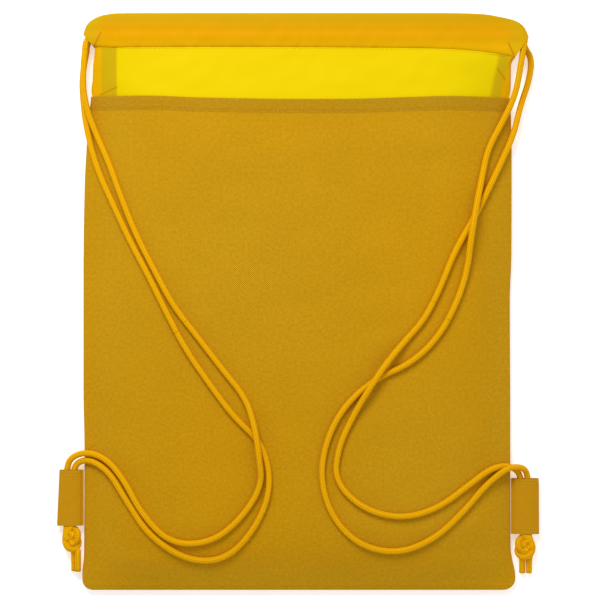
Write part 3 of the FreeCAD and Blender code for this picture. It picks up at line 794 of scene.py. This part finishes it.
def collar_ring():
    """The sleeve's outer face: over the back, round the right side, under the front, round the left side."""
    spread = places_along(1, 0.016, (0, 0.008), (0, 0.004, 0.010, 0.018, 0.030))
    turns = np.linspace(0, pi, 9)[1:-1]
    stops = ([(1, s, 0) for s in spread] + [(1, 1, t) for t in turns]
             + [(1, s, pi) for s in spread[::-1]] + [(-1, s, pi) for s in spread[1:]]
             + [(-1, 1, pi - t) for t in turns] + [(-1, s, 0) for s in spread[:0:-1]])
    climb = places_along(1, 0.05, (0, 0.02, 0.05), (0, 0.01, 0.03, 0.06))
    points = np.zeros((len(climb), len(stops), 3))
    flat = np.zeros((len(climb), len(stops), 2))
    for column, (way, share, turn) in enumerate(stops):
        seam_y = through(CHANNEL_SEAM, way * 0.1585 * share + (0.004 * share if way > 0 else 0))
        y = COLLAR_START + (seam_y - COLLAR_START) * climb
        edge = np.abs(through(COLLAR_RIGHT if way > 0 else COLLAR_LEFT, y))
        above = np.clip((y - PANEL_MOUTH) / (seam_y - PANEL_MOUTH), 0, 1)
        above = 0.5 * above + 0.5 * ease(0, 1, above)
        sewn_x = np.minimum(edge * share, HALF_WIDTH - 0.0005)
        under_back = back_height(sewn_x, COLLAR_FOOT) - CLOTH - LAYER_GAP
        over_front = front_height(sewn_x, COLLAR_FOOT) + CLOTH + LAYER_GAP
        back = under_back * (1 - above) + (BACK_CHANNEL + NYLON / 2) * above
        front = over_front * (1 - above) + (FRONT_CHANNEL - NYLON / 2) * above
        back = np.maximum(back, front + 0.0006)
        bow = np.minimum(0.3 * (back - front), 0.003)
        x = (edge - bow) * share + bow * math.sin(turn)
        z = (back + front) / 2 + (back - front) / 2 * math.cos(turn)
        points[:, column] = np.stack([way * x, y, z], -1)
        flat[:, column] = np.stack([way * x, y], -1)
    return points, flat


collar, collar_flat = collar_ring()
spread_columns = collar.shape[1]
open_cloth = (ease(PANEL_MOUTH + 0.002, PANEL_MOUTH + 0.014, collar[..., 1])
              * ease(0.197, 0.186, collar[..., 1]) * ease(0.162, 0.140, np.abs(collar[..., 0])))
collar[..., 2] += 0.0005 * open_cloth * ripple(collar_flat, 0.045, 11)
collar_normals = grid_normals(collar, closed=True)
opposite = spread_columns // 2
for side in ("left", "right"):
    if side == "right":
        pick = np.arange(0, opposite + 1)
    else:
        pick = np.append(np.arange(opposite, spread_columns), 0)
    sleeve = cloth_piece(f"{side}_collar", [(collar[:, pick], collar_normals[:, pick], collar_flat[:, pick],
                                             NYLON, 0)], [nylon])
    follow_mouth(sleeve)
    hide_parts("back_collar", "front_collar")


# ---- Cord channels: the collar's top turned over and sewn down, gathered to a mouth at each end ----

CHANNEL_STATIONS = [
    ((-0.1645, 0.2055), (-0.1574, 0.1972), 0.0030),
    ((-0.1622, 0.2122), (-0.1567, 0.1967), 0.0031),
    ((-0.1575, 0.2170), (-0.1547, 0.1963), 0.0032),
    ((-0.1498, 0.2204), (-0.1490, 0.1959), 0.0033),
    ((-0.138, 0.2220), (-0.1375, 0.1958), 0.0033),
    ((-0.120, 0.2222), (-0.120, 0.1959), 0.0033),
    ((-0.060, 0.22225), (-0.060, 0.1962), 0.0033),
    ((0, 0.22225), (0, 0.196), 0.0033),
    ((0.050, 0.22225), (0.050, 0.1957), 0.0033),
    ((0.090, 0.22225), (0.090, 0.1953), 0.0033),
    ((0.122, 0.2221), (0.118, 0.1945), 0.0033),
    ((0.142, 0.2214), (0.135, 0.1932), 0.0033),
    ((0.1563, 0.2191), (0.147, 0.1918), 0.0033),
    ((0.1687, 0.2158), (0.158, 0.1902), 0.0033),
    ((0.1748, 0.2108), (0.164, 0.1889), 0.0032),
    ((0.1779, 0.2037), (0.1675, 0.1884), 0.0030),
]
HOOD = 0.011                   # the face towards the other channel stops this far short of each end
PUCKER = 0.0004
MIDDLE_STATION = 7
LEFT_CORD_Y = 0.204            # of the two drawcords inside the channels
RIGHT_CORD_Y = 0.213


def channel_faces(level, away):
    """The outer and inner faces of one channel, whose outer side is away from the other channel."""
    top, seam, half = (np.array(part, float) for part in zip(*CHANNEL_STATIONS))
    marks = marks_along((top + seam) / 2)
    fine = np.concatenate([np.linspace(a, b, max(3, round((b - a) / 0.0022)), endpoint=False)
                           for a, b in zip(marks, marks[1:])] + [marks[-1:]])
    across = [np.stack([through(list(zip(marks, part[:, axis])), fine) for axis in (0, 1)], -1)
              for part in (top, seam)]
    half = through(list(zip(marks, half)), fine)
    share = (1 - np.cos(np.linspace(0, pi, 27))) / 2
    flat = across[1][None] + share[:, None, None] * (across[0] - across[1])[None]
    round_share = np.sqrt(np.clip(1 - np.abs(2 * share - 1) ** 3.2, 0, 1))[:, None]
    over_cords = sum(np.exp(-((flat[..., 1] - y) / 0.0026) ** 2) for y in (LEFT_CORD_Y, RIGHT_CORD_Y))
    depth = half[None] * round_share - 0.0004 * round_share * (1 - over_cords)
    only_x = np.stack([flat[..., 0], 0 * flat[..., 0]], -1)
    gathers = ease(0.60, 0.0, share)[:, None] * ripple(only_x, 0.006, 21)
    depth += round_share * (PUCKER * gathers + 0.0003 * ripple(flat, 0.030, 23))
    outer = np.concatenate([flat, (level + away * depth)[..., None]], -1)
    inner = np.concatenate([flat, (level - away * 0.95 * half[None] * round_share)[..., None]], -1)
    ends = np.minimum(np.abs(fine - fine[0]), np.abs(fine[-1] - fine))
    return outer, inner, flat, ends, int(np.argmin(np.abs(fine - marks[MIDDLE_STATION])))


for layer, level, away in (("back", BACK_CHANNEL, 1), ("front", FRONT_CHANNEL, -1)):
    outer, inner, flat, ends, middle = channel_faces(level, away)
    outward = grid_normals(outer) * away
    inward = grid_normals(inner) * -away
    for side in ("left", "right"):
        columns = np.arange(0, middle + 1) if side == "left" else np.arange(middle, len(ends))
        covered = columns[ends[columns] > HOOD]
        pieces = []
        for grid, normal, chosen, flip in ((outer, outward, columns, away < 0),
                                           (inner, inward, covered, away > 0)):
            chosen = chosen[::-1] if flip else chosen
            pieces.append((grid[:, chosen], normal[:, chosen], flat[:, chosen], NYLON, 0))
        tunnel = cloth_piece(f"{side}_{layer}_channel", pieces, [channel_nylon])
        follow_mouth(tunnel)
        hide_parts(f"{layer}_collar")


# ---- The cords inside the channels ----

EXITS = {
    "left": [(0, LEFT_CORD_Y), (-0.149, LEFT_CORD_Y), (-0.163, LEFT_CORD_Y), (-0.163, 0.194)],
    "right": [(0, RIGHT_CORD_Y), (0.144, RIGHT_CORD_Y), (0.160, 0.2115), (0.1715, 0.209), (0.175, 0.203)],
}
# The half turn of the other side's cord at each corner: where it starts, and how far out it reaches.
BIGHTS = {"left": (-0.1555, RIGHT_CORD_Y, 0.0030), "right": (0.162, LEFT_CORD_Y, 0.0069)}
TURN_POINTS = 28
for side, near_line in EXITS.items():
    far = "right" if side == "left" else "left"
    far_x, line_y = BIGHTS[far][:2]
    for layer, level in (("back", BACK_CHANNEL), ("front", FRONT_CHANNEL)):
        near_route = [(x, y, level) for x, y in near_line]
        far_route = [(far_x, line_y, level), (far_x / 2, line_y, level), (0, line_y, level)]
        for corner, route in ((side, near_route), (far, far_route)):
            line = drawn_spline(f"{side}_{layer}_{corner}_line", route, 40)
            piece, _, _ = knitted_tube(f"{side}_cord_{layer}_run_{corner}", line, CORD)
            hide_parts(f"{side}_cord_{layer}_run")
            follow_mouth(piece)
for corner, (start_x, line_y, reach) in BIGHTS.items():
    outward = WAYS[corner] * reach
    middle, half = (BACK_CHANNEL + FRONT_CHANNEL) / 2, (BACK_CHANNEL - FRONT_CHANNEL) / 2
    turn = np.linspace(pi / 2, -pi / 2, TURN_POINTS)
    line = np.stack([start_x + outward * np.cos(turn), np.full(TURN_POINTS, line_y),
                     middle + half * np.sin(turn)], -1)
    cord_of = "right" if corner == "left" else "left"
    piece, _, _ = knitted_tube(f"{cord_of}_cord_half_turn", line, CORD, np.array((0, 1.0, 0)))
    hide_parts(f"{cord_of}_cord_bight")
    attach(piece, f"{corner}_mouth_corner")


# ---- Tabs: a ribbon folded into a loop round its cord and sewn into the side seam ----

TAB_FLANGE = 0.1650            # the ribbon's two layers, flat where the seam holds them
TAB_FOLD = 0.1664              # where they part into the loop
TAB_OUTER = {"left": (0.1856, 0.1837), "right": (0.1868, 0.1866)}
RIBBON = 0.0009
LOOP_POINTS = 25


def loop_half_height(share):
    """Half the loop's height, from its seam at 0 to its folded edge at 1."""
    return 0.0008 + 0.0029 * np.clip(4 * share * (1 - share), 0, 1) ** 0.42


def tab_surface(side, share, y, low, high):
    """The x of a place on a tab, and the height of its upper face above its middle."""
    bottom_x, top_x = TAB_OUTER[side]
    outer = bottom_x + (top_x - bottom_x) * (y - low) / (high - low)
    x = TAB_FLANGE + (outer - TAB_FLANGE) * share
    return x, loop_half_height(np.clip((x - TAB_FOLD) / (outer - TAB_FOLD), 0, 1))


def tab_height(side, x, y, share, half):
    """The height of a tab's face, half being how far it lies above the middle of the loop, or below it."""
    settle = 0.00025 * ripple(np.stack([x, y], -1), 0.02, 31 if side == "left" else 32)
    return SEAM_LEVEL + 0.0005 * np.sin(share * pi) + half + settle * ease(0, 0.3, share), settle


def sewn_loop(side):
    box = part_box(f"{side}_tab")
    low, high = box[0].y, box[1].y
    shares = (1 - np.cos(np.linspace(0, pi, LOOP_POINTS))) / 2
    along = low + places_along(high - low, 0.0025, (0, 0.0006, 0.0015), (0, 0.0006, 0.0015))
    share, y = np.meshgrid(np.concatenate([shares, shares[-2:0:-1]]), along)
    over = np.concatenate([np.ones(LOOP_POINTS), -np.ones(LOOP_POINTS - 2)])[None]
    x, half = tab_surface(side, share, y, low, high)
    z, settle = tab_height(side, x, y, share, over * half)
    points = np.stack([WAYS[side] * x, y + 0.3 * settle, z], -1)
    if side == "left":
        points = points[:, ::-1]
    columns = np.append(np.arange(2 * LOOP_POINTS - 2), 0)
    normals = grid_normals(points, closed=True)
    points = points[:, columns]
    loop = cloth_piece(f"{side}_tab_ribbon", [(points, normals[:, columns], points[..., :2], RIBBON, 0)],
                       [ribbon])
    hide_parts(f"{side}_tab")
    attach(loop, f"{side}_tab")
    return low, high


# ---- Thread ----

def stitches(name, lines, stitch, gap, thickness, material, away=(0, 0, 1)):
    """Rows of separate stitches that dip into the cloth at both ends. away points out of the cloth."""
    points, uvs, faces = [], [], []
    turn = np.arange(8) / 8 * 2 * pi
    reach = np.array((0, 0.14, 0.5, 0.86, 1))
    swell = np.array((0.35, 0.85, 1, 0.85, 0.35))
    away = np.array(away, float)
    for line in lines:
        line = np.array(line, float)
        marks = marks_along(line)
        for start in np.arange(gap / 2, marks[-1] - stitch, stitch + gap):
            stops = start + reach * stitch
            centres = np.stack([np.interp(stops, marks, line[:, axis]) for axis in range(3)], -1)
            heading = unit(centres[-1] - centres[0])
            side = np.cross(heading, away)
            ring = np.outer(np.cos(turn), away) + np.outer(np.sin(turn), side)
            body = centres[:, None] + ring[None] * (thickness / 2 * swell)[:, None, None]
            body -= away * (thickness * 0.35 * (1 - swell))[:, None, None]
            first = len(points) * 40
            points.append(body.reshape(-1, 3))
            place = np.broadcast_arrays(turn[None] / (2 * pi), stops[:, None])
            uvs.append(np.stack(place, -1).reshape(-1, 2))
            faces += [tuple(face[::-1]) for face in grid_faces(5, 8, first, closed=True)]
            faces.append(tuple(range(first, first + 8)))
            faces.append(tuple(range(first + 39, first + 31, -1)))
    thing = mesh_object(name, np.concatenate(points), faces, np.concatenate(uvs), materials=[material])
    return thing


for side, way in WAYS.items():
    low, high = sewn_loop(side)
    rows = []
    for y in (low + 0.0018, low + 0.0042, high - 0.0018, high - 0.0042):
        shares = np.linspace(0.14, 0.94, 30)
        x, half = tab_surface(side, shares, y, low, high)
        row_y = np.full(30, y)
        height, _ = tab_height(side, x, row_y, shares, half)
        rows.append(np.stack([way * x, row_y, height + 0.0001], -1))
    thread = stitches(f"{side}_tab_thread", rows, 0.0016, 0.0009, 0.0006, tab_thread)
    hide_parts(f"{side}_tab_stitching")
    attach(thread, f"{side}_tab")

HEM_STITCH = 0.0085            # from the panels' mouth
SEAM_INSET = 0.0042
SEAM_THREAD = SEAM_LEVEL + 0.0004
ROW_POINTS = 90
rows_y = np.linspace(BOTTOM + SEAM_INSET, PANEL_MOUTH, 60)
for side, edge in (("left", LEFT_EDGE), ("right", RIGHT_EDGE)):
    row_x = through(edge, rows_y) - WAYS[side] * SEAM_INSET
    row = np.stack([row_x, rows_y, np.full(len(rows_y), SEAM_THREAD)], -1)
    thread = stitches(f"{side}_side_thread", [row], 0.0026, 0.0006, 0.0005, seam_thread)
    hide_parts(f"{side}_side_stitching")
    follow_mouth(thread)
row = [(-0.157, BOTTOM + SEAM_INSET, SEAM_THREAD), (0.157, BOTTOM + SEAM_INSET, SEAM_THREAD)]
thread = stitches("bottom_thread", [row], 0.0026, 0.0006, 0.0005, seam_thread)
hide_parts("bottom_stitching")
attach(thread, "bag")

for side, reaches in (("left", (0.1575, 0.150, 0.153)), ("right", (0.161, 0.150, 0.160))):
    over_x, under_x, seam_x = (WAYS[side] * np.linspace(0.0005, reach, ROW_POINTS)
                               for reach in reaches)
    over_y, under_y = (through(MOUTH_EDGE, places_x) - HEM_STITCH for places_x in (over_x, under_x))
    over = back_height(over_x, over_y) + EXTRA_LAYER
    inside = front_height(under_x, COLLAR_FOOT) + CLOTH + LAYER_GAP + NYLON
    seam_y = through(CHANNEL_SEAM, seam_x) - 0.0010
    back_seam = np.full(ROW_POINTS, BACK_CHANNEL + NYLON / 2)
    front_seam = np.full(ROW_POINTS, FRONT_CHANNEL - NYLON / 2)
    for name, row, away, finish, node in (
        ("hem_thread", (over_x, over_y, over), 1, seam_thread, "back_collar_stitching"),
        ("inner_hem_thread", (under_x, under_y, inside), 1, seam_thread, "front_collar_stitching"),
        ("channel_thread", (seam_x, seam_y, back_seam), 1, nylon_thread, "back_channel_stitching"),
        ("front_channel_thread", (seam_x, seam_y, front_seam), -1, nylon_thread, "front_channel_stitching"),
    ):
        row = np.stack(row, -1)
        thread = stitches(f"{side}_{name}", [row], 0.0022, 0.0007, 0.00045, finish, (0, 0, away))
        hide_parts(node)
        follow_mouth(thread)


# ---- Knots: the two ends of each cord tied together in one overhand knot below the tab ----

KNOT_LEVEL = 0.0068
KNOTS = {
    # middle, size of a turn, which way the turns lie, tails
    "left": ((-0.1742, -0.1828), (0.0019, 0.0022), -1, ((-0.1726, 0.0030), (-0.1694, 0.0068))),
    "right": ((0.1762, -0.1892), (0.0024, 0.0020), 1, ((0.1740, 0.0030), (0.1792, 0.0034))),
}


def overhand(turn_size):
    """An open three-crossing turn, from its upper end to its lower one, as offsets from its middle."""
    angle = np.linspace(pi + 0.55, 3 * pi - 0.55, 17)
    across = 2 * np.cos(2 * angle) - np.cos(angle)
    along = np.sin(angle) + 2 * np.sin(2 * angle)
    lift = -np.sin(3 * angle)
    return np.stack([across * turn_size[0] + 0.0010, along * turn_size[1], lift * 0.0025], -1)


HALF_APART = 0.0023            # from each strand of the knot to the middle between them
for side, ((middle_x, middle_y), turn_size, way, tail_places) in KNOTS.items():
    low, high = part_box(f"{side}_tab")[0].y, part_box(f"{side}_tab")[1].y
    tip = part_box(f"{side}_cord_tails")[0].y
    turns = overhand(turn_size) * (way, 1, 1) + (middle_x, middle_y, KNOT_LEVEL)
    heading = unit(np.gradient(turns, axis=0))
    beside = unit(np.cross(heading, (0, 0, 1.0)))
    tab_places = (INNER_PLACE, OUTER_PLACE) if side == "right" else (-OUTER_PLACE, -INNER_PLACE)
    shifts = (HALF_APART, -HALF_APART)
    for strand, shift, tab_place, (tail_x, tail_z) in zip("ab", shifts, tab_places, tail_places):
        entry = [(tab_place, high - IN_TAB - 0.001, TAB_LEVEL), (tab_place, low + 0.012, TAB_LEVEL),
                 (tab_place, low + 0.001, TAB_LEVEL)]
        inner = [tuple(point) for point in turns + beside * shift]
        leave = [(tail_x, middle_y - 0.0085, KNOT_LEVEL - 0.0005),
                 (tail_x, middle_y - 0.0125, tail_z + 0.001), (tail_x, tip + 0.0002, tail_z)]
        line = drawn_spline(f"{side}_knot_line_{strand}", entry + inner + leave, 10)
        within = ease(0.012, 0.009, np.abs(line[:, 1] - middle_y))
        piece, _, _ = knitted_tube(f"{side}_knot_strand_{strand}", line, CORD * (1 + 0.05 * within))
        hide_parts(f"{side}_knot", f"{side}_cord_tails", f"{side}_cord_tab_run")
        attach(piece, f"{side}_knot")
